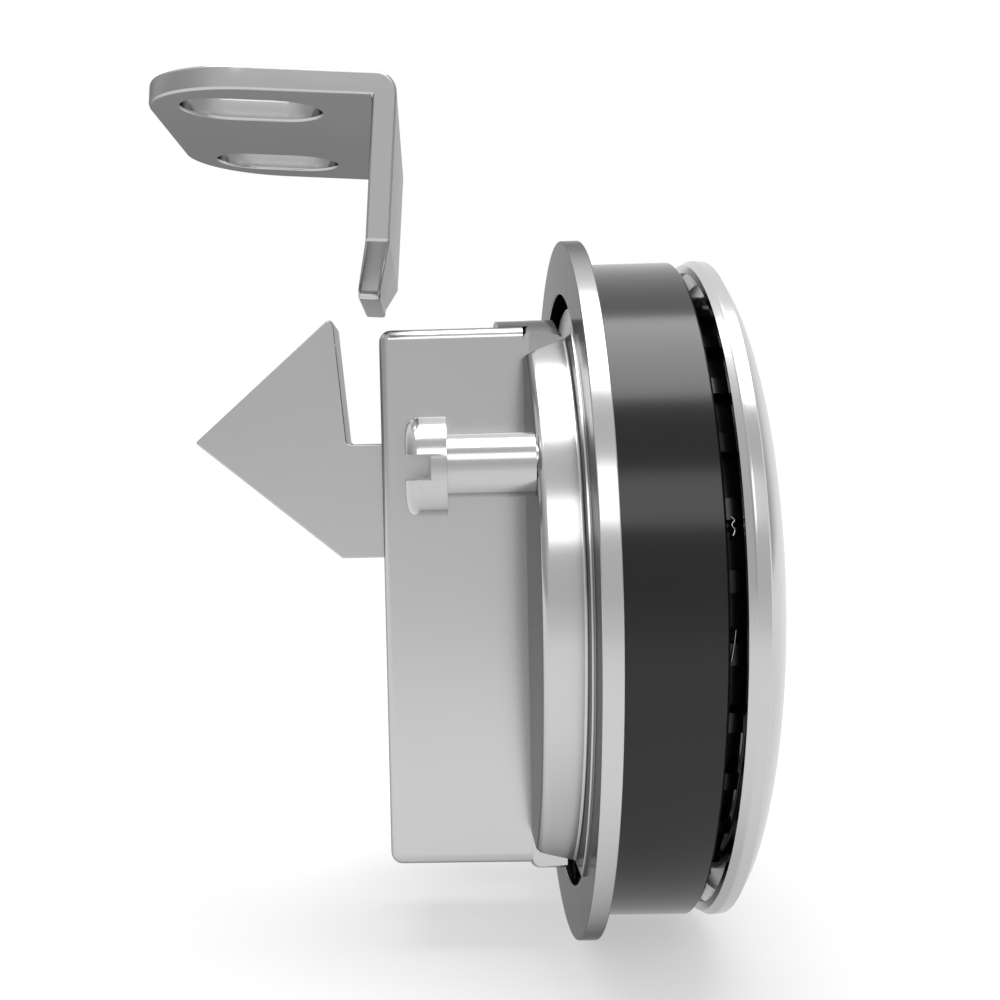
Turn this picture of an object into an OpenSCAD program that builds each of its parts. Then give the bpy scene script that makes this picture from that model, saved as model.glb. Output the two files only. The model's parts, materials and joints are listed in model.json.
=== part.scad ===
// Push-to-close latch for a hatch or a locker door, 75 mm across its clamp ring.
// It clamps in a round hole of the panel. A hooked bolt, sprung upward, rides down
// under the foot of the keeper as the door is pushed shut and springs up behind it.
// The flush handle in the bezel pulls out at its lower edge and draws the bolt down.
//
// Frame: X runs along the latch axis towards the front of the panel, Z is up, and
// the origin is on the axis at the bezel's rear face, where the panel's front lies.

/* [Bezel] */
// Largest radius of the domed bezel
bezel_r = 35.04; // [34.5:0.01:35.5]
// Height of the dome's middle above the panel's front
dome_h = 7.73; // [7.4:0.01:8.2]
// Roundness exponent of the dome's outline
dome_n = 1.841; // [1.8:0.001:2.2]
// Radius of the opening for the handle
opening_r = 27.2; // [27.1:0.1:27.6]

/* [Clamping] */
// Thickness of the panel between the bezel and the spacer sleeve
panel_t = 1.63; // [1.2:0.01:2]
// Length of the black spacer sleeve
sleeve_l = 9.47; // [9:0.01:10]
// Outer radius of the spacer sleeve
sleeve_r = 34.94; // [34:0.01:36]
// Outer radius of the clamp ring
ring_r = 37.5; // [36:0.1:40]
// Thickness of the clamp ring
ring_t = 1.92; // [1.5:0.01:2.5]
// Radius of the hole in the clamp ring
ring_bore_r = 31.93; // [31.8:0.01:32.1]
// Radius of the clamp plate's body
plate_r = 29.65; // [29.6:0.01:29.8]
// Thickness of the clamp plate
plate_t = 4.38; // [4.2:0.01:4.6]
// Radius of the two clamp screws' shanks
clamp_shank_r = 3.09; // [2.9:0.01:3.2]
// Radius of the clamp screws' heads
clamp_head_r = 4.785; // [4.5:0.01:5]

/* [Case and bolt] */
// Length of the case behind the clamp plate
case_l = 14.8; // [14.6:0.1:15.4]
// Width of the case
case_w = 20; // [19.8:0.1:20.4]
// Height of the case
case_h = 56; // [55.6:0.1:56]
// Thickness of the bolt from side to side
bolt_t = 11; // [10.6:0.1:11]
// Slope of the handle at the end of its pull, in degrees
handle_pull = 32; // [28:1:32]

/* [Keeper] */
// Width of the keeper plate
keeper_w = 45.15; // [44:0.1:48]
// Length of the keeper plate from its bend
keeper_l = 25.2; // [25:0.1:28]
// Thickness of the keeper plate
keeper_t = 2.27; // [2:0.01:2.5]
// Lean of the keeper, in degrees
keeper_lean = 4.22; // [4:0.01:4.5]

/* [Hidden] */
$fn = 96;
eps = 0.02;

// Clamp plate, which hangs a little low while its screws are slack
plate_sag = 0.4;
flange_r = 32.7;
flange_t = 0.8;
flange_z = 26.65;
facing_z = 29.3;

// Places along the latch axis
sleeve_x1 = -panel_t;
sleeve_x0 = sleeve_x1 - sleeve_l;
ring_x0 = sleeve_x0 - ring_t;
plate_x1 = ring_x0;
plate_x0 = plate_x1 - plate_t;
case_x1 = plate_x0;
case_x0 = case_x1 - case_l;

// Bezel and cup
rim_x = 1.10;
rim_edge_x = 1.9;
rim_edge_r = bezel_r - 0.1;
dome_edge_r = bezel_r - 0.64;
cup_r = 30.4;
cup_wall = 2;
cup_floor_x = -12;
cup_floor_t = 2;
cup_flange_t = 2;
cup_rib_r = 31.3;
cup_rib_n = 30;
cup_rib_t = 2;
cup_screw_a = 55;
cup_screw_pitch = 28.6;
cup_screw_r = 1.1;
cup_screw_head_r = 1.75;
bezel_shell_r = 33.8;

// Wire clip behind the bezel, and its groove in the lower half of the cup
clip_x = 0.84;
clip_r = 29.45;
clip_wire_r = 0.4;
clip_a = 72;

// Handle and its pin
handle_r = 26;
handle_t = 2.4;
handle_round = 1.2;
pin_x = 2.2;
pin_z = 20;
pin_r = 1.25;
pin_l = 44;
pin_fit = 0.05;
hub_r = 2.6;
eye_r = 2.9;
hub_l = 25;
ear_gap = 4.2;
ear_t = 2.5;
spring_y0 = 6;
spring_y1 = 12;
rivet_x = -1.6;
rivet_z = 13.6;
rivet_r = 1.5;

// Arm between the handle and the bolt
arm_t = 4;
nose_r = 2;
nose_x = -21.8;
lost_motion = 0.8;

// Bolt, in its raised place
floor_z = 16.33;
under_z = 4.2;
hook_x = -36;
tongue_x1 = -19.6;
bolt_drop = handle_pull * 3 / 8;
nose_z = floor_z + lost_motion + nose_r;
wall = 1.6;
edge_r = 1.2;
slot_gap = 0.2;

// Slide block, spring and post inside the case
block_x0 = case_x0 + wall + 0.3;
block_x1 = -19.4;
block_w = case_w - 2 * wall - 0.4;
block_z0 = -3;
block_z1 = 15.4;
spring_x = -24.8;
spring_mean_r = 3.6;
spring_wire_r = 0.5;
spring_turns = 7;
post_r = 2.4;
block_pin_x = -25;
block_pin_z = 10;
block_pin_r = 1.5;

// Keeper, placed as the photograph shows it
keeper_x = -29.61;
keeper_z = 48.74;
leg_h = 17.9;
joggle_z = -13.5;
joggle_u = -1;
foot_w = 20.6;
slot_u = -14.7;
slot_v = 13.6;
slot_l = 14.1;
slot_w = 9;

// Height of the dome over the panel's front at a radius
function dome(r) = rim_x + (dome_h - rim_x) * pow(1 - pow(r / bezel_r, dome_n), 1 / dome_n);

// Points of a circular arc
function arc(cx, cy, r, a0, a1, n) = [for (i = [0:n]) let (a = a0 + (a1 - a0) * i / n) [cx + r * cos(a), cy + r * sin(a)]];

// Unit vector along v
function unit(v) = v / norm(v);

// Arc of radius r that rounds the corner b between a and c
function corner(a, b, c, r) = let (u = unit(a - b), w = unit(c - b), half = acos(u * w) / 2,
    m = b + unit(u + w) * r / sin(half), p = b + u * r / tan(half) - m, q = b + w * r / tan(half) - m,
    a0 = atan2(p[1], p[0]), d = atan2(q[1], q[0]) - a0, turn = d > 180 ? d - 360 : d < -180 ? d + 360 : d)
    arc(m[0], m[1], r, a0, a0 + turn, 4);

// Closed outline with each corner rounded to its own radius
function rounded(points, radii) = let (n = len(points))
    [for (i = [0:n - 1]) each corner(points[(i + n - 1) % n], points[i], points[(i + 1) % n], radii[i])];

// Turns a shape made about Z so that it lies along the latch axis
module along_x() {
    rotate([0, 90, 0]) children();
}

// A body of revolution about the latch axis, its outline given as radius and place along X
module turned(points) {
    along_x() rotate_extrude() polygon(points);
}

// A round bar along the latch axis
module bar_x(x0, x1, r) {
    translate([x0, 0, 0]) along_x() cylinder(h = x1 - x0, r = r);
}

// A round bar along Y, centred on the XZ plane
module bar_y(x, z, r, l) {
    translate([x, 0, z]) rotate([90, 0, 0]) cylinder(h = l, r = r, center = true);
}

// A flat plate of a given XZ outline, centred on the XZ plane
module plate_y(t) {
    rotate([90, 0, 0]) linear_extrude(height = t, center = true) children();
}

// A box with all its edges and corners rounded
module rounded_box(x0, x1, y0, y1, z0, z1, r) {
    xs = [x0 + r, x1 - r];
    ys = [y0 + r, y1 - r];
    zs = [z0 + r, z1 - r];
    translate([x0, ys[0], zs[0]]) cube([x1 - x0, ys[1] - ys[0], zs[1] - zs[0]]);
    translate([xs[0], y0, zs[0]]) cube([xs[1] - xs[0], y1 - y0, zs[1] - zs[0]]);
    translate([xs[0], ys[0], z0]) cube([xs[1] - xs[0], ys[1] - ys[0], z1 - z0]);
    for (y = ys, z = zs)
        translate([xs[0], y, z]) along_x() cylinder(h = xs[1] - xs[0], r = r, $fn = 48);
    for (x = xs, z = zs)
        translate([x, ys[1], z]) rotate([90, 0, 0]) cylinder(h = ys[1] - ys[0], r = r, $fn = 48);
    for (x = xs, y = ys)
        translate([x, y, zs[0]]) cylinder(h = zs[1] - zs[0], r = r, $fn = 48);
    for (x = xs, y = ys, z = zs)
        translate([x, y, z]) sphere(r = r, $fn = 48);
}

// A wire along a helix about Z, from height 0 to h, its two ends cut square
module helix_wire(mean_r, wire_r, turns, h, sides = 8, steps = 14) {
    n = round(turns * steps);
    ring_count = n + 1;
    points = [for (i = [0:n]) let (a = 360 * i / steps, z = wire_r + (h - 2 * wire_r) * i / n)
        for (j = [0:sides - 1]) let (b = 360 * j / sides)
        [(mean_r + wire_r * cos(b)) * cos(a), (mean_r + wire_r * cos(b)) * sin(a), z + wire_r * sin(b)]];
    walls = [for (i = [0:n - 1]) for (j = [0:sides - 1])
        let (k = (j + 1) % sides)
        [i * sides + j, i * sides + k, (i + 1) * sides + k, (i + 1) * sides + j]];
    cap0 = [for (j = [sides - 1:-1:0]) j];
    cap1 = [for (j = [0:sides - 1]) (ring_count - 1) * sides + j];
    polyhedron(points = points, faces = concat(walls, [cap0, cap1]), convexity = 10);
}

// A pan head screw along the latch axis, its head at the -X end
module pan_screw(x_seat, head_r, head_h, shank_r, shank_l, round_r) {
    turned(concat([[0, x_seat - head_h]],
        arc(head_r - round_r, x_seat - head_h + round_r, round_r, -90, 0, 8),
        [[head_r, x_seat], [shank_r, x_seat], [shank_r, x_seat + shank_l - 0.4],
        [shank_r - 0.4, x_seat + shank_l], [0, x_seat + shank_l]]));
}

// Domed ring, hollow behind round the cup, with two slots for the pin
module bezel() {
    rear_r = bezel_r - 0.44;
    color("silver") difference() {
        turned(concat([[opening_r, cup_flange_t + eps], [bezel_shell_r - 1.2, cup_flange_t + eps],
            [bezel_shell_r, cup_flange_t - 1.1], [bezel_shell_r, 0], [rear_r, 0]], arc(rear_r, 0.9, 0.44, -45, 0, 4),
            [[rim_edge_r, rim_edge_x]],
            [for (i = [0:24]) let (r = dome_edge_r - pow(i / 24, 1.7) * (dome_edge_r - opening_r - 0.6))
                [r, dome(r)]],
            [[opening_r, dome(opening_r) - 0.5]]));
        for (s = [-1, 1]) {
            translate([0, s * (pin_l / 2 - 2.4), pin_z]) bar_y(pin_x, 0, pin_r + pin_fit, 5);
            translate([-1, s * (pin_l / 2 - 2.4) - 2.5, pin_z - pin_r - pin_fit])
                cube([pin_x + 1, 5, 2 * (pin_r + pin_fit)]);
        }
        cup_screw_places() bar_x(-1, cup_flange_t + 2, cup_screw_r);
    }
}

// Puts a shape at each of the two screws that hold the cup to the bezel, above the wire clip's ends
module cup_screw_places() {
    for (a = [cup_screw_a, 180 - cup_screw_a])
        translate([0, cup_screw_pitch * cos(a), cup_screw_pitch * sin(a)]) children();
}

// Puts a shape at each clamp screw
module clamp_screw_places() {
    for (s = [-1, 1]) translate([0, s * 23, -s * 14]) children();
}

// Moulded cup behind the handle, ribbed outside, slotted for the arm
module recess_cup() {
    arm_slot_w = 8;
    color("dimgray") difference() {
        union() {
            turned([[cup_r - cup_wall, cup_flange_t], [cup_r, cup_flange_t], [cup_r, cup_floor_x],
                [0, cup_floor_x], [0, cup_floor_x + cup_floor_t], [cup_r - cup_wall, cup_floor_x + cup_floor_t]]);
            for (i = [0:cup_rib_n - 1])
                rotate([(i + 0.5) * 360 / cup_rib_n, 0, 0])
                    translate([cup_floor_x + 0.5, cup_r - 1, -cup_rib_t / 2])
                        cube([0.9 - cup_floor_x, cup_rib_r - cup_r + 1, cup_rib_t]);
            intersection() {
                clamp_screw_places() bar_x(cup_floor_x, -2.4, 4.6);
                bar_x(cup_floor_x, 0, cup_r - 1);
            }
            intersection() {
                cup_screw_places() bar_x(cup_floor_x, 0.6, 3);
                bar_x(cup_floor_x, 0.6, cup_r - 0.5);
            }
            for (s = [-1, 1])
                translate([0, s * 12, -19]) bar_x(cup_floor_x + 1, 0.4, 2.6);
        }
        cup_screw_places() bar_x(cup_floor_x - 1, -0.05, cup_screw_head_r + 0.4);
        cup_screw_places() bar_x(-1, cup_flange_t + 1, cup_screw_r);
        for (s = [-1, 1])
            translate([0, s * (pin_l / 2 - 3), 0]) bar_y(pin_x, pin_z, pin_r + pin_fit, 8);
        clamp_screw_places() bar_x(cup_floor_x - 1, -4.4, clamp_shank_r);
        clip_arc(clip_a + 3)
            translate([clip_r - clip_wire_r - 0.02, -clip_wire_r - 0.01]) square([4, 3 * clip_wire_r]);
        translate([cup_floor_x - 1, -arm_slot_w / 2, 3]) cube([cup_floor_t + 2, arm_slot_w, 21]);
    }
}

// Sweeps a section round the lower half of the cup at the wire clip's place
module clip_arc(a) {
    translate([clip_x, 0, 0]) along_x() rotate([0, 0, -a]) rotate_extrude(angle = 2 * a) children();
}

// Wire clip that keeps the cup's flange in the bezel
module snap_ring() {
    color("gainsboro") clip_arc(clip_a) translate([clip_r, 0]) circle(r = clip_wire_r, $fn = 16);
}

// Small screws that hold the cup's flange to the bezel
module cup_screws() {
    color("lightgray") cup_screw_places() {
        turned([[0, -1.65], [cup_screw_head_r - 0.5, -1.65], [cup_screw_head_r, -1.15],
            [cup_screw_head_r, -0.05], [cup_screw_r - eps, -0.05], [cup_screw_r - eps, 3.6], [0, 3.6]]);
    }
}

// Rubber buttons that the handle rests on
module handle_bumpers() {
    color("black") for (s = [-1, 1])
        translate([0, s * 12, -19]) turned([[0, 0.4], [2.4, 0.4], [2.4, 2.4], [1.8, 3], [0, 3]]);
}

// Black tube between the panel's back and the clamp ring
module spacer_sleeve() {
    inner_r = ring_bore_r - 0.03;
    c = 0.25;
    color("black") turned([[inner_r, sleeve_x0], [sleeve_r - c, sleeve_x0], [sleeve_r, sleeve_x0 + c],
        [sleeve_r, sleeve_x1 - c], [sleeve_r - c, sleeve_x1], [inner_r, sleeve_x1]]);
}

// Flat steel ring that presses the sleeve to the panel's back
module clamp_ring() {
    color("silver") turned([[ring_bore_r, ring_x0], [ring_r, ring_x0],
        [ring_r, sleeve_x0], [ring_bore_r, sleeve_x0]]);
}

// Turned disc with a thin flange at its sides, notched beside the case and with a crown over it
module clamp_plate() {
    rear_round = 0.9;
    fillet_r = 1.1;
    color("silver") difference() {
        translate([0, 0, -plate_sag]) union() {
            turned(concat([[0, plate_x0]], arc(plate_r - rear_round, plate_x0 + rear_round, rear_round, -90, 0, 8),
                arc(plate_r + fillet_r, plate_x1 - flange_t - fillet_r, fillet_r, 180, 90, 8),
                [[flange_r, plate_x1 - flange_t], [flange_r, plate_x1], [0, plate_x1]]));
            crown(plate_x0 - 2.4);
        }
        for (s = [0, 1], t = [0, 1]) mirror([0, s, 0]) mirror([0, 0, t]) plate_notch();
        for (t = [0, 1]) mirror([0, 0, t]) crown_facing();
        translate([0, 0, -plate_sag]) flange_ends();
        clamp_screw_places() bar_x(plate_x0 - 1, plate_x1 + 1, clamp_shank_r + 0.1);
        case_screw_places() {
            bar_x(plate_x0 - 1, plate_x1 + 1, 1.35);
            bar_x(plate_x1 - 2, plate_x1 + 1, 2.6);
        }
        translate([plate_x0 - 1, -4, 2]) cube([plate_t + 2, 8, 21.5]);
    }
}

// What is cut from the flange above and below its flat ends
module flange_ends() {
    for (t = [0, 1])
        intersection() {
            difference() {
                bar_x(plate_x0 - 5, plate_x1 + 1, 40);
                bar_x(plate_x0 - 6, plate_x1 + 2, plate_r);
            }
            mirror([0, 0, t]) translate([plate_x0 - 5, -40, flange_z + (t == 0 ? plate_sag : -plate_sag)])
                cube([20, 80, 40]);
        }
}

// Flat facing of the crown, which runs out in a slope towards the ring
module crown_facing() {
    plate_y(2 * plate_r) polygon([[plate_x0 - 5, facing_z], [plate_x0 + 1.1, facing_z], [plate_x0 + 2.8, facing_z + 0.85],
        [plate_x0 + 2.8, plate_r + 5], [plate_x0 - 5, plate_r + 5]]);
}

// Slanting notch of the clamp plate beside one corner of the case
module plate_notch() {
    floor_z0 = 24.8;
    floor_lean = 22.3;
    wall_y0 = 8.6;
    wall_lean = 67.4;
    intersection() {
        translate([plate_x0, 0, floor_z0]) rotate([0, -floor_lean, 0]) translate([-10, 0, 0]) cube([30, 50, 20]);
        translate([plate_x0, wall_y0, 0]) rotate([0, 0, wall_lean]) translate([-20, 0, 0]) cube([60, 50, 50]);
        translate([plate_x0 - 5, case_w / 2, 0]) cube([20, 50, 50]);
    }
}

// Curved strips of the clamp plate that reach back over the case's top and bottom
module crown(x0) {
    for (t = [0, 1])
        intersection() {
            bar_x(x0, plate_x1, plate_r);
            mirror([0, 0, t]) translate([x0, -case_w / 2, case_h / 2 + 0.1 + (t == 0 ? plate_sag : -plate_sag)])
                cube([plate_x1 - x0, case_w, 5]);
        }
}

// Puts a shape at each screw that holds the case to the clamp plate
module case_screw_places() {
    for (y = [-6.3, 6.3], z = [-23.6, 25]) translate([0, y, z]) children();
}

// Long slotted screws that draw the clamp plate to the cup, shown backed off
module clamp_screws() {
    head_h = 3.9;
    slot_t = 2.3;
    slot_deep = 2.4;
    seat_x = -25.7;
    color("lightgray") clamp_screw_places() difference() {
        pan_screw(seat_x, clamp_head_r, head_h, clamp_shank_r - eps, 20.9, 1.4);
        translate([seat_x - head_h - 1, -6, -slot_t / 2]) cube([1 + slot_deep, 12, slot_t]);
    }
}

// Box behind the clamp plate that the bolt slides in, open to the plate
module bolt_case() {
    half_w = case_w / 2;
    half_h = case_h / 2;
    gap_w = bolt_t + 2 * slot_gap;
    color("silver") difference() {
        rounded_box(case_x0, case_x1, -half_w, half_w, -half_h, half_h, edge_r);
        difference() {
            translate([case_x0 + wall, -half_w + wall, -half_h + wall])
                cube([case_l, case_w - 2 * wall, case_h - 2 * wall]);
            case_screw_places() bar_x(case_x0, case_x1, 1.9);
        }
        case_screw_places() bar_x(case_x1 - 8, case_x1 + 1, 1.2);
        translate([case_x0 - 1, -gap_w / 2, under_z - bolt_drop - 0.3])
            cube([wall + 2, gap_w, floor_z - under_z + bolt_drop + 0.5]);
    }
}

// Screws that hold the case to the clamp plate, their heads sunk in its front
module case_screws() {
    color("lightgray") case_screw_places() mirror([1, 0, 0])
        turned([[0, -plate_x1 + 0.2], [2.4, -plate_x1 + 0.2], [2.4, -plate_x1 + 2], [1.18, -plate_x1 + 2],
            [1.18, -plate_x1 + 11], [0, -plate_x1 + 11]]);
}

// Post on the case's floor that keeps the bolt spring in line
module spring_post() {
    color("lightgray") translate([spring_x, 0, -case_h / 2 + wall])
        rotate_extrude() polygon([[0, 0], [post_r, 0], [post_r, 7.4], [post_r - 0.8, 8.2], [0, 8.2]]);
}

// Compression spring that pushes the slide block up
module bolt_spring() {
    h = block_z0 + case_h / 2 - wall - 2 * eps;
    color("gainsboro") translate([spring_x, 0, -case_h / 2 + wall + eps])
        helix_wire(spring_mean_r, spring_wire_r, spring_turns, h);
}

// Pin that the handle and its arm turn on
module handle_pin() {
    color("lightgray") bar_y(pin_x, pin_z, pin_r, pin_l);
}

// Torsion spring round the pin, with one leg on the handle and one on the cup
module handle_spring() {
    wire_r = 0.4;
    mean_r = 1.9;
    y0 = spring_y0 + 0.5;
    l = spring_y1 - spring_y0 - 1;
    color("gainsboro") {
        translate([pin_x, y0 + l, pin_z]) rotate([90, 0, 0]) helix_wire(mean_r, wire_r, 5, l, 8, 12);
        translate([pin_x + mean_r * 0.2, y0 + wire_r, pin_z - mean_r]) rotate([0, 180 + 4, 0])
            cylinder(h = 9, r = wire_r, $fn = 16);
    }
}

// Domed flush handle with a finger notch, a hub on the pin and two ears for the arm
module pull_handle() {
    notch_r = 9.5;
    hub_gap = spring_y1 - spring_y0;
    color("silver") difference() {
        union() {
            turned(concat([for (i = [0:16]) let (r = (handle_r - handle_round) * i / 16) [r, dome(r)]],
                arc(handle_r - handle_round, dome(handle_r - handle_round) - handle_round, handle_round, 75, 0, 6),
                [for (i = [16:-1:0]) let (r = handle_r * i / 16) [r, dome(r) - handle_t]]));
            bar_y(pin_x, pin_z, hub_r, hub_l);
            plate_y(ear_gap + 2 * ear_t) handle_ear();
        }
        bar_y(pin_x, pin_z, pin_r + pin_fit, 2 * handle_r);
        bar_y(pin_x, pin_z, eye_r + 0.15, ear_gap);
        bar_y(rivet_x, rivet_z, rivet_r, 20);
        translate([-8, -ear_gap / 2, 4]) cube([8 + dome(0) - handle_t - 1.6, ear_gap, 24]);
        translate([pin_x - 4, spring_y0, pin_z - 4]) cube([4 + 2.65, hub_gap, 9]);
        translate([-1, 0, -29]) along_x() cylinder(h = 12, r = notch_r);
    }
}

// Outline of the ears behind the handle, in X and Z
module handle_ear() {
    translate([rivet_x, rivet_z]) circle(r = 3);
    polygon([[rivet_x, rivet_z - 3], [4.6, rivet_z - 4.5], [4.6, pin_z + 2], [pin_x, pin_z + hub_r],
        [pin_x - hub_r, pin_z], [rivet_x - 3, rivet_z]]);
}

// Steel arm from the handle through the cup and the plate, its nose over the bolt's tongue
module release_arm() {
    tail_h = 2.6;
    color("lightgray") difference() {
        plate_y(arm_t) {
            translate([pin_x, pin_z]) circle(r = eye_r);
            translate([rivet_x, rivet_z]) circle(r = 2.8);
            translate([nose_x, nose_z]) circle(r = nose_r);
            polygon([[pin_x + 1.6, pin_z - 2.4], [pin_x, pin_z + 2.9], [nose_x, nose_z + nose_r],
                [nose_x, nose_z - nose_r], [rivet_x - 6, pin_z - tail_h - 1], [rivet_x - 2.6, rivet_z - 1],
                [rivet_x, rivet_z - 2.8], [rivet_x + 2.4, rivet_z - 1.4]]);
        }
        bar_y(pin_x, pin_z, pin_r + pin_fit, 20);
        bar_y(rivet_x, rivet_z, rivet_r, 20);
    }
}

// Rivet that fixes the arm between the handle's ears
module arm_rivet() {
    l = ear_gap + 2 * ear_t;
    color("gainsboro") {
        bar_y(rivet_x, rivet_z, rivet_r, l);
        for (s = [-1, 1])
            translate([0, s * (l / 2 + 0.4), 0]) bar_y(rivet_x, rivet_z, rivet_r + 0.7, 0.8);
    }
}

// Hooked bolt with a ramp above and below its tip, and a tongue into the case
module bolt() {
    tip = [-52.2, 16.88];
    top = [-37.2, 29.98];
    lower = [-36.75, under_z];
    color("silver") difference() {
        plate_y(bolt_t) polygon(rounded([tip, lower, [tongue_x1, under_z], [tongue_x1, floor_z], [hook_x, floor_z],
            top], [0.25, 0.4, 0.4, 0.4, 0.5, 0.45]));
        bar_y(block_pin_x, block_pin_z, block_pin_r, 20);
    }
}

// Moulded block on the bolt's tongue that runs between the case's walls
module slide_block() {
    color("ivory") difference() {
        translate([block_x0, -block_w / 2, block_z0])
            cube([block_x1 - block_x0, block_w, block_z1 - block_z0]);
        translate([block_x0 - 1, -bolt_t / 2 - eps, under_z - eps])
            cube([block_x1 - block_x0 + 2, bolt_t + 2 * eps, 20]);
        bar_y(block_pin_x, block_pin_z, block_pin_r, 20);
    }
}

// Cross pin through the block and the tongue
module block_pin() {
    color("lightgray") bar_y(block_pin_x, block_pin_z, block_pin_r, block_w - 0.4);
}

// Angled keeper: a slotted plate, a leg with a small joggle and a narrowed foot
module keeper() {
    color("silver") translate([keeper_x, 0, keeper_z]) rotate([0, keeper_lean, 0]) difference() {
        union() {
            keeper_plate();
            keeper_leg();
        }
        for (s = [-1, 1]) translate([slot_u, s * slot_v, -1]) keeper_slot();
    }
}

// Slotted plate of the keeper, its far corners rounded
module keeper_plate() {
    corner_r = 11;
    half = keeper_w / 2;
    translate([-keeper_l + corner_r, -half, 0]) cube([keeper_l - corner_r - 2, keeper_w, keeper_t]);
    translate([-keeper_l, -half + corner_r, 0]) cube([corner_r + 1, keeper_w - 2 * corner_r, keeper_t]);
    for (s = [-1, 1])
        translate([-keeper_l + corner_r, s * (half - corner_r), 0]) cylinder(h = keeper_t, r = corner_r);
}

// A slot through the keeper's plate
module keeper_slot() {
    straight = slot_l - slot_w;
    translate([-straight / 2, -slot_w / 2, 0]) cube([straight, slot_w, 5]);
    for (s = [-1, 1]) translate([s * straight / 2, 0, 0]) cylinder(h = 5, r = slot_w / 2);
}

// Leg of the keeper, bent down from the plate, its lower end narrowed to the foot
module keeper_leg() {
    half = keeper_w / 2;
    bend_r = 2;
    intersection() {
        plate_y(keeper_w) polygon(concat([[-4, 0], [-4, keeper_t], [-bend_r, keeper_t]],
            arc(-bend_r, keeper_t - bend_r, bend_r, 90, 0, 8),
            [[0, joggle_z], [joggle_u, -leg_h + 1], [joggle_u, -leg_h], [joggle_u - keeper_t, -leg_h],
            [joggle_u - keeper_t, -leg_h + 1], [-keeper_t, joggle_z], [-keeper_t, 0]]));
        rotate([90, 0, 90]) translate([0, 0, -10]) linear_extrude(height = 20)
            polygon([[-half, 5], [half, 5], [half, joggle_z], [foot_w / 2, -leg_h + 0.6], [foot_w / 2, -leg_h],
                [-foot_w / 2, -leg_h], [-foot_w / 2, -leg_h + 0.6], [-half, joggle_z]]);
    }
}

bezel();
recess_cup();
snap_ring();
cup_screws();
handle_bumpers();
spacer_sleeve();
clamp_ring();
clamp_plate();
clamp_screws();
bolt_case();
case_screws();
spring_post();
bolt_spring();
handle_pin();
handle_spring();
pull_handle();
release_arm();
arm_rivet();
bolt();
slide_block();
block_pin();
keeper();
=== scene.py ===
"""Finishes a round push-to-close latch and sets it up in a plain studio."""

import json
import math

import bmesh
import bpy
from mathutils import Matrix, Vector


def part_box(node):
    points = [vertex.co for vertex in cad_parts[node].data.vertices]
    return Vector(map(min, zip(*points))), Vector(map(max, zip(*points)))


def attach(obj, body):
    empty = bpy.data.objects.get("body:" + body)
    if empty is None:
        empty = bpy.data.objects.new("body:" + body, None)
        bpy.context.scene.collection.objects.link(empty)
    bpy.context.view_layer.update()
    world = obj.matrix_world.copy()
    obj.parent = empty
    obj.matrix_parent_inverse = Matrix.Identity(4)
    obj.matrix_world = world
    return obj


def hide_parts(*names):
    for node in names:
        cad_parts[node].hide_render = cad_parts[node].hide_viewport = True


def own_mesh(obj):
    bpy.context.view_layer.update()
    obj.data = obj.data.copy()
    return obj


bl_info = {
    "name": "Push-to-close latch",
    "version": (1, 0, 0),
    "blender": (4, 5, 0),
    "location": "3D View > Sidebar > Latch",
    "description": "Finishes the parts of a round panel latch and sets up its studio",
    "category": "Object",
}

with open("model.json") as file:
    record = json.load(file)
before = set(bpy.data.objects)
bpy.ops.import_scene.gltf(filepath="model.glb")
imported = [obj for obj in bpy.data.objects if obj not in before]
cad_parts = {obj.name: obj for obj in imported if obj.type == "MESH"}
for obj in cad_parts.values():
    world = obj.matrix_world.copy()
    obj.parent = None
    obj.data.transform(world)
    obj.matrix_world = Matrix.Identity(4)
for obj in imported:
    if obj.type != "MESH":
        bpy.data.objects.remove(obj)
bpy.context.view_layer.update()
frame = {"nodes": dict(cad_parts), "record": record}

MM = 0.001


class Value:
    """One output socket, with the arithmetic that adds Math nodes."""

    def __init__(self, sheet, socket):
        self.sheet = sheet
        self.socket = socket

    def maths(self, operation, *values):
        return self.sheet.node("ShaderNodeMath", {"operation": operation}, *values)

    def __add__(self, other):
        return self.maths("ADD", self, other)

    __radd__ = __add__

    def __sub__(self, other):
        return self.maths("SUBTRACT", self, other)

    def __rsub__(self, other):
        return self.maths("SUBTRACT", other, self)

    def __mul__(self, other):
        return self.maths("MULTIPLY", self, other)

    __rmul__ = __mul__

    def absolute(self):
        return self.maths("ABSOLUTE", self)

    def clamped(self):
        return self.sheet.node("ShaderNodeClamp", {}, self)


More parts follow.
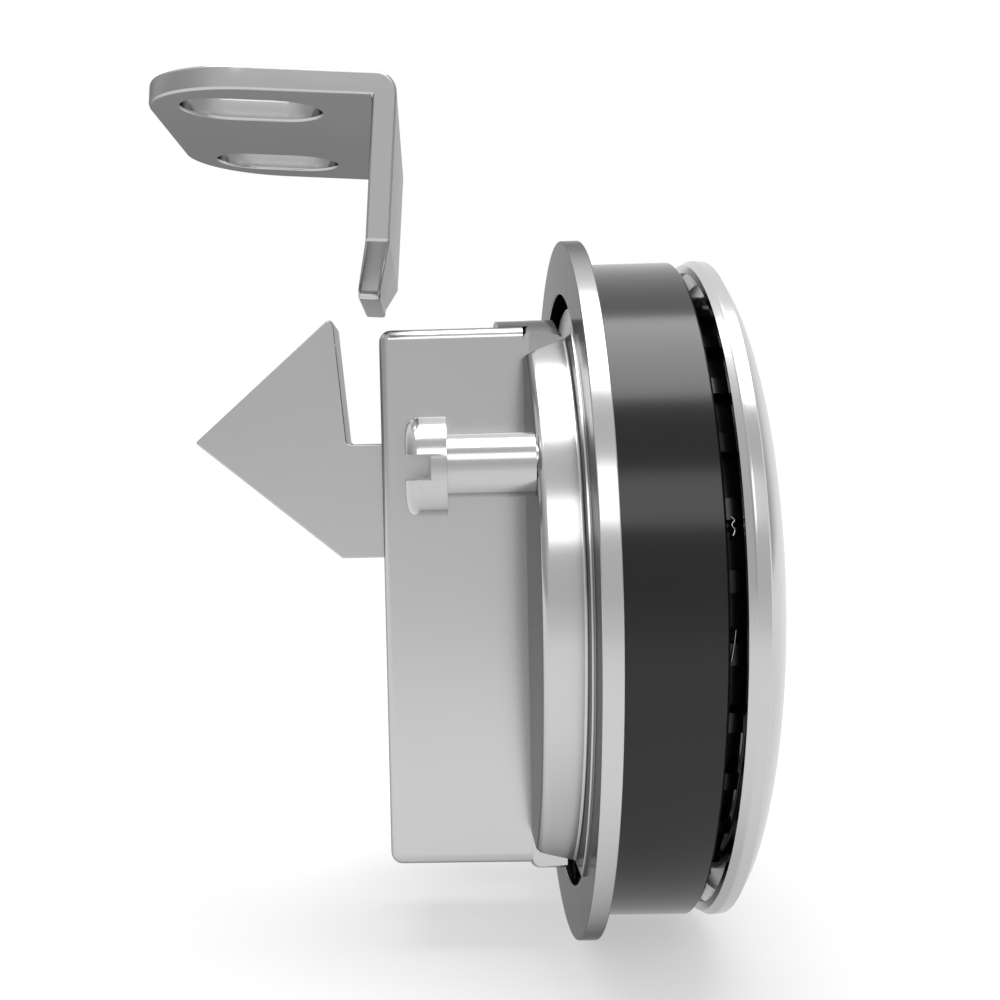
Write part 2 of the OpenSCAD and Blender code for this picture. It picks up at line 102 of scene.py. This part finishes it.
class Sheet:
    """The node tree of one material or of the world."""

    def __init__(self, tree):
        self.tree = tree
        tree.nodes.clear()

    def node(self, kind, settings, *values, out=0, **named):
        made = self.tree.nodes.new(kind)
        for key, setting in settings.items():
            setattr(made, key, setting)
        for place, value in enumerate(values):
            self.feed(made.inputs[place], value)
        for key, value in named.items():
            self.feed(made.inputs[key.replace("_", " ")], value)
        return Value(self, made.outputs[out]) if made.outputs else made

    def feed(self, socket, value):
        if isinstance(value, Value):
            self.tree.links.new(value.socket, socket)
        elif value is not None:
            socket.default_value = value

    def place(self):
        return self.node("ShaderNodeTexCoord", {}, out="Object")

    def along(self, axis, vector):
        return self.node("ShaderNodeSeparateXYZ", {}, vector, out=axis)

    def ray(self, *kinds):
        """1 for light paths of the kinds named, else 0."""
        hits = [self.node("ShaderNodeLightPath", {}, out="Is %s Ray" % kind) for kind in kinds]
        return sum(hits[1:], hits[0]).clamped()

    def stretched(self, scale):
        return self.node("ShaderNodeMapping", {}, self.place(), Scale=scale)

    def noise(self, scale, detail=2.0, roughness=0.5, place=None):
        return self.node("ShaderNodeTexNoise", {}, place or self.place(), Scale=scale, Detail=detail,
                         Roughness=roughness)

    def ramp(self, value, low, high):
        return self.node("ShaderNodeMapRange", {}, value, From_Min=low, From_Max=high)

    def mix(self, factor, first, second):
        """Blend of two colours. Their sockets come after five that the other kinds of mix use."""
        return self.node("ShaderNodeMix", {"data_type": "RGBA"}, factor, *[None] * 5, first, second, out=2)

    def bump(self, height, strength, distance):
        return self.node("ShaderNodeBump", {}, Height=height, Strength=strength, Distance=distance)

    def surface(self, **inputs):
        """Ends a material with its Principled shader."""
        self.node("ShaderNodeOutputMaterial", {}, self.node("ShaderNodeBsdfPrincipled", {}, **inputs))


def new_material(name):
    """A material and its empty sheet."""
    material = bpy.data.materials.new(name)
    material.use_nodes = True
    return material, Sheet(material.node_tree)


def grey(level):
    return (level, level, level, 1.0)


def shade_of(tint, share=1.0):
    """A tint with its alpha, darkened to a share."""
    return (*[channel * share for channel in tint], 1.0)


def polished_steel(tint, roughness, edge=0.24):
    """Mirror polished steel: a clean sheen with a faint haze and hairline polishing marks. Its Specular
    Tint, grey at the level edge, darkens the reflection at grazing angles: painted shade.
    """
    material, sheet = new_material("polished steel")
    haze = sheet.noise(60.0, detail=3.0, roughness=0.6)
    hairlines = sheet.noise(900.0, place=sheet.stretched((1.0, 1.0, 0.08)))
    sheet.surface(Base_Color=sheet.mix(sheet.ramp(haze, 0.3, 0.7), shade_of(tint, 0.97), shade_of(tint)),
                  Metallic=1.0, Roughness=sheet.ramp(haze, 0.25, 0.8) * 0.03 + roughness,
                  Normal=sheet.bump(hairlines, 0.02, 0.02 * MM), Specular_Tint=grey(edge))
    return material


def turned_steel(tint, roughness):
    """Bright screws and pins, with fine turning marks round their axis."""
    material, sheet = new_material("turned steel")
    marks = sheet.noise(1.0, detail=3.0, roughness=0.6, place=sheet.stretched((6000.0, 200.0, 200.0)))
    sheet.surface(Base_Color=sheet.mix(marks, shade_of(tint, 0.93), shade_of(tint)), Metallic=1.0,
                  Roughness=marks * 0.08 + roughness, Normal=sheet.bump(marks, 0.05, 0.02 * MM))
    return material


def spring_wire(tint, roughness):
    """Drawn spring wire, a little darker and duller than the screws."""
    material, sheet = new_material("spring wire")
    marks = sheet.noise(2500.0, detail=3.0, roughness=0.6)
    sheet.surface(Base_Color=sheet.mix(marks, shade_of(tint, 0.8), shade_of(tint)), Metallic=1.0,
                  Roughness=marks * 0.1 + roughness, Normal=sheet.bump(marks, 0.1, 0.01 * MM))
    return material


def black_moulding(tint, roughness):
    """Smooth black moulded plastic with a faint grain from its mould."""
    material, sheet = new_material("black moulding")
    grain = sheet.noise(1800.0, roughness=0.55)
    cloud = sheet.noise(45.0)
    sheet.surface(Base_Color=sheet.mix(cloud, shade_of(tint, 0.85), shade_of(tint)),
                  Roughness=cloud * 0.06 + grain * 0.04 + roughness,
                  Normal=sheet.bump(grain, 0.06, 0.02 * MM), Specular_IOR_Level=0.5)
    return material


def soft_rubber(tint, roughness):
    """Matt black rubber of the handle's rests."""
    material, sheet = new_material("soft rubber")
    grain = sheet.noise(3000.0, detail=3.0, roughness=0.6)
    sheet.surface(Base_Color=sheet.mix(grain, shade_of(tint, 0.7), shade_of(tint)),
                  Roughness=grain * 0.1 + roughness, Normal=sheet.bump(grain, 0.2, 0.02 * MM))
    return material


def bearing_nylon(tint, roughness):
    """Natural nylon of the block that slides in the case."""
    material, sheet = new_material("bearing nylon")
    cloud = sheet.noise(120.0, detail=3.0)
    sheet.surface(Base_Color=sheet.mix(cloud, shade_of(tint, 0.93), shade_of(tint)),
                  Roughness=cloud * 0.1 + roughness, Normal=sheet.bump(cloud, 0.05, 0.05 * MM))
    return material


FINISHES = {
    "polished": polished_steel,
    "steel": turned_steel,
    "wire": spring_wire,
    "black": black_moulding,
    "rubber": soft_rubber,
    "nylon": bearing_nylon,
}


def tint_property(name, description, default):
    return bpy.props.FloatVectorProperty(name=name, description=description, subtype="COLOR", size=3,
                                         min=0.0, max=1.0, default=default)


def share_property(name, description, default):
    return bpy.props.FloatProperty(name=name, description=description, subtype="FACTOR", min=0.0, max=1.0,
                                   default=default)


def length_property(name, description, default):
    return bpy.props.FloatProperty(name=name, description=description, subtype="DISTANCE", unit="LENGTH",
                                   min=0.0, max=2.0 * MM, precision=5, default=default * MM)


class LatchFinishes(bpy.types.PropertyGroup):
    """Colours and gloss of the latch's materials"""

    polished_tint: tint_property("Polished steel", "Colour of the polished steel", (0.62, 0.62, 0.625))
    polished_roughness: share_property("Polished roughness", "Roughness of the polished steel", 0.17)
    steel_tint: tint_property("Turned steel", "Colour of the screws and pins", (0.6, 0.6, 0.605))
    steel_roughness: share_property("Turned roughness", "Roughness of the screws and pins", 0.14)
    wire_tint: tint_property("Spring wire", "Colour of the springs", (0.5, 0.5, 0.51))
    wire_roughness: share_property("Wire roughness", "Roughness of the springs", 0.28)
    black_tint: tint_property("Black moulding", "Colour of the sleeve and the cup", (0.002, 0.002, 0.0021))
    black_roughness: share_property("Moulding roughness", "Roughness of the black mouldings", 0.13)
    rubber_tint: tint_property("Rubber", "Colour of the handle's rests", (0.03, 0.03, 0.03))
    rubber_roughness: share_property("Rubber roughness", "Roughness of the rests", 0.75)
    nylon_tint: tint_property("Nylon", "Colour of the sliding block", (0.78, 0.76, 0.69))
    nylon_roughness: share_property("Nylon roughness", "Roughness of the block", 0.42)


class LatchSizes(bpy.types.PropertyGroup):
    """Small sizes of the latch's edges and wires"""

    plate_edge: length_property("Plate's edges", "Rounding of the clamp plate's edges", 0.2)
    case_edge: length_property("Case's edges", "Rounding of the case's edges against the plate", 0.2)
    screw_edge: length_property("Screws' edges", "Rounding of the clamp screws' edges", 0.15)
    bolt_edge: length_property("Bolt's edges", "Rounding of the bolt's and the keeper's edges", 0.3)
    ring_edge: length_property("Ring's edges", "Rounding of the clamp ring's edges", 0.15)
    spring_wire: length_property("Spring's wire", "Radius of the bolt spring's wire", 0.5)
    hook_wire: length_property("Clip's hook", "Radius of the clip's bent end", 0.14)
    tail_wire: length_property("Clip's tail", "Radius of the clip's straight end", 0.1)


class LatchStudio(bpy.types.PropertyGroup):
    """Camera, floor and light round the latch"""

    camera_place: bpy.props.FloatVectorProperty(
        name="Camera", description="Place of the camera", subtype="TRANSLATION", unit="LENGTH",
        default=(-0.02782, -0.16328, 0.01594), precision=4)
    camera_turn: bpy.props.FloatProperty(
        name="Turn", description="Turn of the camera to the left of the Y axis", subtype="ANGLE",
        default=math.radians(2.144))
    camera_dip: bpy.props.FloatProperty(
        name="Dip", description="Dip of the camera below the level", subtype="ANGLE",
        default=math.radians(3.365))
    camera_roll: bpy.props.FloatProperty(
        name="Roll", description="Roll of the camera to the right", subtype="ANGLE",
        default=math.radians(1.433))
    lens: bpy.props.FloatProperty(name="Lens", description="Focal length on a 36 mm sensor",
                                  default=53.33, min=20.0, max=200.0)
    shift: bpy.props.FloatVectorProperty(name="Shift", description="Shift of the camera's frame", size=2,
                                         default=(0.1297, 0.0348))
    room_level: share_property("Room light", "Even light of the room on the object", 0.5)
    front_level: share_property("Front of the room", "Grey behind the camera that the metal mirrors", 0.64)
    side_level: share_property("Sides of the room", "Grey at both sides that the metal mirrors", 0.4)


def round_edges(piece, width):
    """Adds small rounded edges that leave the shading of the flats as it is."""
    edges = piece.modifiers.new("edges", "BEVEL")
    edges.width = width
    edges.segments = 2
    edges.limit_method = "ANGLE"
    edges.angle_limit = math.radians(35.0)
    piece.modifiers.new("shading", "WEIGHTED_NORMAL").weight = 100


def soften(names, width):
    """Rounds the sharp edges of the nodes named, so that they catch the light as real ones do."""
    for name in names:
        piece = frame["nodes"][name]
        piece.modifiers.new("seams", "WELD").merge_threshold = 0.001 * MM
        flats = piece.modifiers.new("flats", "DECIMATE")
        flats.decimate_type = "DISSOLVE"
        flats.angle_limit = math.radians(0.5)
        round_edges(piece, width)


def wear(name, material):
    """Gives a CAD node its material."""
    mesh = frame["nodes"][name].data
    mesh.materials.clear()
    mesh.materials.append(material)


def dress(slot):
    """Gives the finish of one slot to every node that has it."""
    finishes = bpy.context.scene.latch_finishes
    tint, roughness = getattr(finishes, slot + "_tint"), getattr(finishes, slot + "_roughness")
    material = FINISHES[slot](tuple(tint), roughness)
    for part in frame["record"]["subparts"]:
        if part["material_slot"] == slot:
            wear(part["node"], material)


def arc(centre, radius, start, end, steps):
    """Points of an arc, its angles in degrees."""
    turns = [math.radians(start + (end - start) * step / steps) for step in range(steps + 1)]
    return [(centre[0] + radius * math.cos(turn), centre[1] + radius * math.sin(turn)) for turn in turns]


def solid(name, points, faces, unit=MM):
    """Makes an object from points, in millimetres if no unit is given, its faces turned outwards."""
    mesh = bpy.data.meshes.new(name)
    mesh.from_pydata([[value * unit for value in point] for point in points], [], faces)
    shape = bmesh.new()
    shape.from_mesh(mesh)
    bmesh.ops.recalc_face_normals(shape, faces=shape.faces)
    shape.to_mesh(mesh)
    shape.free()
    made = bpy.data.objects.new(name, mesh)
    bpy.context.collection.objects.link(made)
    return made


def turned(name, outline, place, steps):
    """Body of revolution along X from places and radii, its axis at a place in Y and Z."""
    points, faces = [], []
    for along, radius in outline:
        for step in range(steps):
            angle = math.tau * step / steps
            points.append((along, place[0] + radius * math.cos(angle), place[1] + radius * math.sin(angle)))
    for ring in range(len(outline) - 1):
        for step in range(steps):
            after = (step + 1) % steps
            faces.append((ring * steps + step, ring * steps + after, (ring + 1) * steps + after,
                          (ring + 1) * steps + step))
    faces.append(tuple(range(steps)))
    faces.append(tuple(range((len(outline) - 1) * steps, len(outline) * steps)))
    return solid(name, points, faces)


def bar(place, along, radius):
    """Round bar along X at a place in Y and Z."""
    return turned("bar", [(along[0], radius), (along[1], radius)], place, 48)


def prism(low, high):
    """Solid between two outlines of as many points each."""
    count = len(low)
    sides = [(step, (step + 1) % count, count + (step + 1) % count, count + step) for step in range(count)]
    return solid("prism", low + high, [tuple(range(count)), tuple(range(count, 2 * count)), *sides])


def block(x, y, z):
    """Box between two values on each axis."""
    corners = [(x[0], y[0]), (x[1], y[0]), (x[1], y[1]), (x[0], y[1])]
    return prism([(*corner, z[0]) for corner in corners], [(*corner, z[1]) for corner in corners])


def combine(piece, operation, others):
    """Cuts, joins or trims a piece with others and keeps only the result, without slivers."""
    for other in others:
        step = piece.modifiers.new("step", "BOOLEAN")
        step.operation = operation
        step.solver = "EXACT"
        step.object = other
    shaped = piece.evaluated_get(bpy.context.evaluated_depsgraph_get())
    mesh = bpy.data.meshes.new_from_object(shaped)
    piece.modifiers.clear()
    piece.data = mesh
    shape = bmesh.new()
    shape.from_mesh(mesh)
    bmesh.ops.dissolve_degenerate(shape, dist=0.002 * MM, edges=shape.edges[:])
    shape.to_mesh(mesh)
    shape.free()
    for other in others:
        bpy.data.objects.remove(other)
    return piece


def shade(piece, material, width):
    """Gives a made piece its finish, smooth curves and small rounded edges."""
    piece.data.materials.clear()
    piece.data.materials.append(material)
    piece.data.shade_smooth()
    round_edges(piece, width)


# Millimetres, in the CAD's frame. BEYOND is past the edge of every piece.
PLATE_BACK, PLATE_FRONT, PLATE_R = -17.40, -13.02, 29.65
PLATE_AXIS = (0.0, -0.4)
CASE_BACK, CASE_WALL, CASE_HALF_W, CASE_HALF_H = -32.2, 1.6, 10.0, 28.0
CASE_SCREWS = [(y, z) for y in (-6.3, 6.3) for z in (-23.6, 25.0)]
CLAMP_SCREWS = [(-23.0, 14.0), (23.0, -14.0)]
NECK_R, NECK_PLAY = 2.2, 0.05
ENDS = (-1, 1)
BEYOND = 40.0


def notch(side, end):
    """Cutter for one slanting cut of the plate beside the case, given its side in Y and its end in Z."""
    back, lean, wall, wall_slope, floor, floor_slope = -27.0, 0.588, 10.0, 0.595, 24.8, 0.41
    front = PLATE_FRONT + 1.0
    wall_front = wall + wall_slope * (front - PLATE_BACK - lean)
    plan = [(back, wall), (PLATE_BACK + lean, wall), (front, wall_front), (front, BEYOND), (back, BEYOND)]
    low = [(x, side * y, end * (floor + floor_slope * (x - PLATE_BACK))) for x, y in plan]
    return prism(low, [(x, side * y, end * BEYOND) for x, y in plan])


def make_plate():
    """Clamp plate with its thin flange, the strips over the case and the slanting cuts beside it."""
    steps = 240
    rounding, flange, fillet, flange_r = 0.9, 0.35, 0.3, 32.7
    outline = arc((PLATE_BACK + rounding, PLATE_R - rounding), rounding, 180, 90, 6)
    outline += arc((PLATE_FRONT - flange - fillet, PLATE_R + fillet), fillet, -90, 0, 4)
    outline += [(PLATE_FRONT - flange, flange_r), (PLATE_FRONT, flange_r)]
    plate = turned("slanted_plate", outline, PLATE_AXIS, steps)

    strip_back, strip_front, strip_r, gap = PLATE_BACK - 2.4, PLATE_FRONT - 1.0, PLATE_R - 0.02, 0.1
    for end, half_w in zip(ENDS, (CASE_HALF_W - 5.5, CASE_HALF_W)):
        strip = turned("strip", [(strip_back, strip_r), (strip_front, strip_r)], PLATE_AXIS, steps)
        reach = sorted((end * (CASE_HALF_H + gap), end * BEYOND))
        combine(strip, "INTERSECT", [block((-BEYOND, 0.0), (-half_w, half_w), reach)])
        combine(plate, "UNION", [strip])

    cutters = [notch(side, end) for side in ENDS for end in ENDS]
    back, front, under, half_w = -30.0, -12.0, -35.0, 30.0
    facet_x, facet_z, step_x, step_z = -16.3, -29.3, -14.6, -30.15
    facing = [(back, facet_z), (facet_x, facet_z), (step_x, step_z), (step_x, under), (back, under)]
    cutters.append(prism([(x, -half_w, z) for x, z in facing], [(x, half_w, z) for x, z in facing]))
    flange_back, flat, through = PLATE_FRONT - 0.9, 26.65, (-20.0, front)
    for end, place in zip(ENDS, CLAMP_SCREWS):
        cutters.append(block((flange_back, front), (-BEYOND, BEYOND), sorted((end * flat, end * BEYOND))))
        cutters.append(bar(place, through, NECK_R + NECK_PLAY))
    hole_r, head_r, head_h = 1.35, 2.6, 2.0
    for place in CASE_SCREWS:
        cutters.append(bar(place, through, hole_r))
        cutters.append(bar(place, (PLATE_FRONT - head_h, front), head_r))
    slot_half_w, slot_z = 4.0, (2.0, 23.5)
    arm_slot = block(through, (-slot_half_w, slot_half_w), slot_z)
    return combine(plate, "DIFFERENCE", [*cutters, arm_slot])


def make_case():
    """Box of the bolt, rounded at its back and square against the plate."""
    edge_r, excess = 1.2, 3.0
    case = block((CASE_BACK, PLATE_BACK + excess), (-CASE_HALF_W, CASE_HALF_W), (-CASE_HALF_H, CASE_HALF_H))
    case.name = "square_case"
    rounding = case.modifiers.new("rounding", "BEVEL")
    rounding.width = edge_r * MM
    rounding.segments = 6
    ahead = block((PLATE_BACK, 0.0), (-2 * CASE_HALF_W, 2 * CASE_HALF_W), (-BEYOND, BEYOND))
    cavity_w, cavity_h = CASE_HALF_W - CASE_WALL, CASE_HALF_H - CASE_WALL
    cavity = block((CASE_BACK + CASE_WALL, 0.0), (-cavity_w, cavity_w), (-cavity_h, cavity_h))
    inside, slot_half_w, slot_z = -30.0, 5.7, (-8.1, 16.53)
    bolt_slot = block((-BEYOND, inside), (-slot_half_w, slot_half_w), slot_z)
    combine(case, "DIFFERENCE", [ahead, cavity, bolt_slot])
    pillar_r, hole_r, hole_l, gap = 1.9, 1.2, 8.0, 0.05
    pillar, hole = (CASE_BACK + CASE_WALL / 2, PLATE_BACK - gap), (PLATE_BACK - hole_l, 0.0)
    combine(case, "UNION", [bar(place, pillar, pillar_r) for place in CASE_SCREWS])
    return combine(case, "DIFFERENCE", [bar(place, hole, hole_r) for place in CASE_SCREWS])


def make_screws():
    """Both slotted clamp screws, narrower where they pass the plate so that its wall stays whole."""
    shank, head_r, head_h, dome, chamfer, seat, tip = 3.07, 4.785, 3.9, 1.4, 0.4, -25.7, -4.8
    shoulder, neck_end = 0.02, PLATE_FRONT + 0.1
    outline = arc((seat - head_h + dome, head_r - dome), dome, 180, 90, 8)
    outline += [(seat, head_r), (seat, shank), (PLATE_BACK - shoulder, shank), (PLATE_BACK, NECK_R),
                (neck_end, NECK_R), (neck_end + shoulder, shank), (tip - chamfer, shank),
                (tip, shank - chamfer)]
    first, second = [turned("slotted_screws", outline, place, 96) for place in CLAMP_SCREWS]
    slot_reach, slot_half_w, slot = 6.0, 1.15, (-31.0, seat - 1.5)
    for (y, z), screw in zip(CLAMP_SCREWS, (first, second)):
        combine(screw, "DIFFERENCE", [block(slot, (y - slot_reach, y + slot_reach),
                                            (z - slot_half_w, z + slot_half_w))])
    return combine(first, "UNION", [second])


def make_spring(wire):
    """Coil under the slide block, of the size and place of the node that it stands for, in metres."""
    low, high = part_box("bolt_spring")
    turns, steps, sides, travel, play = 7, 32, 12, 12.0 * MM, 0.001
    mean = (high.x - low.x) / 2 - wire
    centre = ((low.x + high.x) / 2, (low.y + high.y) / 2)
    last = turns * steps
    points, faces = [], []
    for ring in range(last + 1):
        turn = math.tau * ring / steps
        level = low.z + wire + (high.z - low.z - 2 * wire) * ring / last
        for side in range(sides):
            around = math.tau * side / sides
            reach = mean + wire * math.cos(around)
            points.append((centre[0] + reach * math.cos(turn), centre[1] + reach * math.sin(turn),
                           level + wire * math.sin(around)))
    for ring in range(last):
        for side in range(sides):
            after = (side + 1) % sides
            faces.append(((ring + 1) * sides + side, (ring + 1) * sides + after, ring * sides + after,
                          ring * sides + side))
    faces += [tuple(range(sides)), tuple(reversed(range(last * sides, (last + 1) * sides)))]
    spring = solid("coil_spring", points, faces, unit=1.0)
    spring.data.shade_smooth()
    spring.data.materials.append(frame["nodes"]["bolt_spring"].data.materials[0])
    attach(spring, "housing")
    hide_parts("bolt_spring")
    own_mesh(spring)


def make_wire(name, points, radius):
    """Wire end of a radius in metres, bent through points in millimetres."""
    data = bpy.data.curves.new(name, "CURVE")
    data.dimensions = "3D"
    data.bevel_depth = radius
    data.bevel_resolution = 4
    data.use_fill_caps = True
    line = data.splines.new("NURBS")
    line.points.add(len(points) - 1)
    for point, place in zip(line.points, points):
        point.co = (*[value * MM for value in place], 1.0)
    line.order_u = 3
    line.use_endpoint_u = True
    data.materials.append(frame["nodes"]["clamp_screws"].data.materials[0])
    made = bpy.data.objects.new(name, data)
    bpy.context.collection.objects.link(made)
    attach(made, "housing")


HOOKED_END = [(-0.55, -30.09, 8.96), (-0.1, -30.17, 8.69), (-0.65, -30.29, 8.26), (-0.15, -30.41, 7.81),
              (-0.49, -30.54, 7.29)]
STRAIGHT_END = [(-0.48, -31.38, -1.03), (-0.57, -31.34, -1.92), (-0.7, -31.27, -2.82),
                (-0.87, -31.17, -3.82)]


class LATCH_OT_housing(bpy.types.Operator):
    """Make the clamp plate, the bolt's case and the clamp screws with their fine edges"""

    bl_idname = "latch.housing"
    bl_label = "Plate, case and screws"

    def execute(self, context):
        sizes = context.scene.latch_sizes
        for node, make, width in (("clamp_plate", make_plate, sizes.plate_edge),
                                  ("bolt_case", make_case, sizes.case_edge),
                                  ("clamp_screws", make_screws, sizes.screw_edge)):
            piece = make()
            shade(piece, frame["nodes"][node].data.materials[0], width)
            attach(piece, "housing")
            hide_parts(node)
        return {"FINISHED"}


class LATCH_OT_wires(bpy.types.Operator):
    """Make the bolt's spring and the ends of the wire clip"""

    bl_idname = "latch.wires"
    bl_label = "Spring and clip"

    def execute(self, context):
        sizes = context.scene.latch_sizes
        make_spring(sizes.spring_wire)
        make_wire("clip_hook", HOOKED_END, sizes.hook_wire)
        make_wire("clip_tail", STRAIGHT_END, sizes.tail_wire)
        return {"FINISHED"}


class LATCH_OT_polished(bpy.types.Operator):
    """Polish the bezel, handle, ring, plate, case, bolt and keeper"""

    bl_idname = "latch.polished"
    bl_label = "Polished parts"

    def execute(self, context):
        dress("polished")
        finishes, sizes = context.scene.latch_finishes, context.scene.latch_sizes
        # The bezel and the handle get a near-white edge tint, so little painted shade at grazing angles.
        # The other polished parts get the dark default edge tint and darken there.
        steel_little_painted_shade = polished_steel(tuple(finishes.polished_tint), finishes.polished_roughness, edge=0.9)
        for name in ("bezel", "pull_handle"):
            wear(name, steel_little_painted_shade)
        soften(("bolt", "keeper"), sizes.bolt_edge)
        soften(("clamp_ring",), sizes.ring_edge)
        return {"FINISHED"}


class LATCH_OT_mouldings(bpy.types.Operator):
    """Finish the black sleeve and cup, the rubber rests and the nylon block"""

    bl_idname = "latch.mouldings"
    bl_label = "Mouldings"

    def execute(self, context):
        for slot in ("black", "rubber", "nylon"):
            dress(slot)
        return {"FINISHED"}


class LATCH_OT_fixings(bpy.types.Operator):
    """Finish the screws, pins, arm and springs"""

    bl_idname = "latch.fixings"
    bl_label = "Screws and springs"

    def execute(self, context):
        for slot in ("steel", "wire"):
            dress(slot)
        return {"FINISHED"}


def make_camera(studio):
    """Sets the camera by its place, turn, dip and roll."""
    turn, dip, roll = -studio.camera_turn, studio.camera_dip, studio.camera_roll
    ahead = Vector((math.sin(turn) * math.cos(dip), math.cos(turn) * math.cos(dip), -math.sin(dip)))
    right = Vector((math.cos(turn), -math.sin(turn), 0.0))
    down = ahead.cross(right)
    level = math.cos(roll) * right + math.sin(roll) * down
    plumb = -math.sin(roll) * right + math.cos(roll) * down
    data = bpy.data.cameras.new("camera")
    data.sensor_width = 36.0
    data.lens = studio.lens
    data.shift_x, data.shift_y = studio.shift
    data.clip_start = 0.001
    camera = bpy.data.objects.new("camera", data)
    axes = Matrix((level, -plumb, -ahead)).transposed()
    camera.matrix_world = Matrix.Translation(studio.camera_place) @ axes.to_4x4()
    bpy.context.collection.objects.link(camera)
    bpy.context.scene.camera = camera


def make_floor(level):
    """Lays a white floor that keeps the object's shadow and fades into the white behind it."""
    reach, fade_start, fade_end, front_start, front_end = 3.0, 0.1, 0.3, 0.1, -0.3
    mesh = bpy.data.meshes.new("floor")
    plan = [(-reach, -reach), (reach, -reach), (reach, reach), (-reach, reach)]
    mesh.from_pydata([(*corner, level) for corner in plan], [], [(0, 1, 2, 3)])
    floor = bpy.data.objects.new("floor", mesh)
    bpy.context.collection.objects.link(floor)

    material, sheet = new_material("floor")
    seen = sheet.ray("Camera", "Glossy", "Transmission")
    mirrored = sheet.ray("Glossy", "Transmission")
    away = sheet.node("ShaderNodeVectorMath", {"operation": "LENGTH"}, sheet.place(), out="Value")
    far = sheet.ramp(away, fade_start, fade_end)
    before = sheet.ramp(sheet.along("Y", sheet.place()), front_start, front_end)
    # Painted reflection: the metal mirrors a shallower shadow under the object than the camera sees, and
    # grey instead of white on the floor in front of it.
    colour, mirrored_colour = grey(0.54), grey(0.35)
    glow, mirrored_glow = grey(0.48), grey(0.56)
    white, mirrored_front, black = grey(1.0), grey(0.72), grey(0.0)
    near_colour = sheet.mix(mirrored, colour, mirrored_colour)
    near_glow = sheet.mix(mirrored, glow, mirrored_glow)
    far_glow = sheet.mix(before * (1.0 - sheet.ray("Camera")), white, mirrored_front)
    sheet.surface(Base_Color=sheet.mix(far * seen, near_colour, black), Roughness=0.9,
                  Emission_Color=sheet.mix(seen, black, sheet.mix(far, near_glow, far_glow)),
                  Emission_Strength=1.0, Specular_IOR_Level=0.1)
    mesh.materials.append(material)


def make_lamp(name, place, target, size, radiance):
    """Hangs a rectangular soft lamp that points at a target."""
    data = bpy.data.lights.new(name, "AREA")
    data.shape = "RECTANGLE"
    data.size, data.size_y = size
    data.energy = radiance * math.pi * size[0] * size[1]
    lamp = bpy.data.objects.new(name, data)
    lamp.location = place
    lamp.rotation_euler = (Vector(target) - Vector(place)).to_track_quat("-Z", "Y").to_euler()
    bpy.context.collection.objects.link(lamp)


def make_world(studio):
    """Shows white behind the object, a soft room to the metal and an even light to the rest."""
    world = bpy.data.worlds.new("room")
    bpy.context.scene.world = world
    world.use_nodes = True
    sheet = Sheet(world.node_tree)
    front_blend, side_start, side_end = 0.3, 0.6, 0.95
    way = sheet.node("ShaderNodeTexCoord", {}, out="Generated")
    in_front = sheet.ramp(sheet.along("Y", way), front_blend, -front_blend)
    at_side = sheet.ramp(sheet.along("X", way).absolute(), side_start, side_end)
    room = sheet.mix(in_front, grey(1.0), grey(studio.front_level))
    room = sheet.mix(at_side, room, grey(studio.side_level))
    lit = sheet.mix(sheet.ray("Glossy", "Transmission"), grey(studio.room_level), room)
    light = sheet.node("ShaderNodeBackground", {}, Color=sheet.mix(sheet.ray("Camera"), lit, grey(1.0)))
    sheet.node("ShaderNodeOutputWorld", {}, light)


class LATCH_OT_studio(bpy.types.Operator):
    """Set up the camera, the floor, the lamps and the room"""

    bl_idname = "latch.studio"
    bl_label = "Studio"

    def execute(self, context):
        studio = context.scene.latch_studio
        context.scene.view_settings.view_transform = "Standard"
        make_camera(studio)
        lowest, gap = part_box("clamp_ring")[0].z, 0.1 * MM
        make_floor(lowest - gap)
        make_world(studio)
        make_lamp("over", place=(0.0, -0.035, 1.0), target=(0.0, -0.035, 0.0), size=(0.9, 0.69),
                  radiance=4.2)
        make_lamp("front", place=(0.0, -1.3, 0.86), target=(0.0, 0.0, 0.0), size=(1.2, 0.5),
                  radiance=1.6)
        return {"FINISHED"}


class LATCH_PT_panel(bpy.types.Panel):
    """Lists what makes up the latch's scene"""

    bl_label = "Latch"
    bl_space_type = "VIEW_3D"
    bl_region_type = "UI"
    bl_category = "Latch"

    def draw(self, context):
        for operator in OPERATORS:
            self.layout.operator(operator.bl_idname)
        scene = context.scene
        for group in (scene.latch_finishes, scene.latch_sizes, scene.latch_studio):
            box = self.layout.box()
            for key in group.__annotations__:
                box.prop(group, key)


OPERATORS = (LATCH_OT_polished, LATCH_OT_mouldings, LATCH_OT_fixings, LATCH_OT_housing, LATCH_OT_wires,
             LATCH_OT_studio)
CLASSES = (LatchFinishes, LatchSizes, LatchStudio, *OPERATORS, LATCH_PT_panel)


def register():
    for item in CLASSES:
        bpy.utils.register_class(item)
    bpy.types.Scene.latch_finishes = bpy.props.PointerProperty(type=LatchFinishes)
    bpy.types.Scene.latch_sizes = bpy.props.PointerProperty(type=LatchSizes)
    bpy.types.Scene.latch_studio = bpy.props.PointerProperty(type=LatchStudio)


def unregister():
    del bpy.types.Scene.latch_studio
    del bpy.types.Scene.latch_sizes
    del bpy.types.Scene.latch_finishes
    for item in reversed(CLASSES):
        bpy.utils.unregister_class(item)


def main():
    register()
    bpy.ops.latch.polished()
    bpy.ops.latch.mouldings()
    bpy.ops.latch.fixings()
    bpy.ops.latch.housing()
    bpy.ops.latch.wires()
    bpy.ops.latch.studio()


if __name__ == "__main__":
    main()
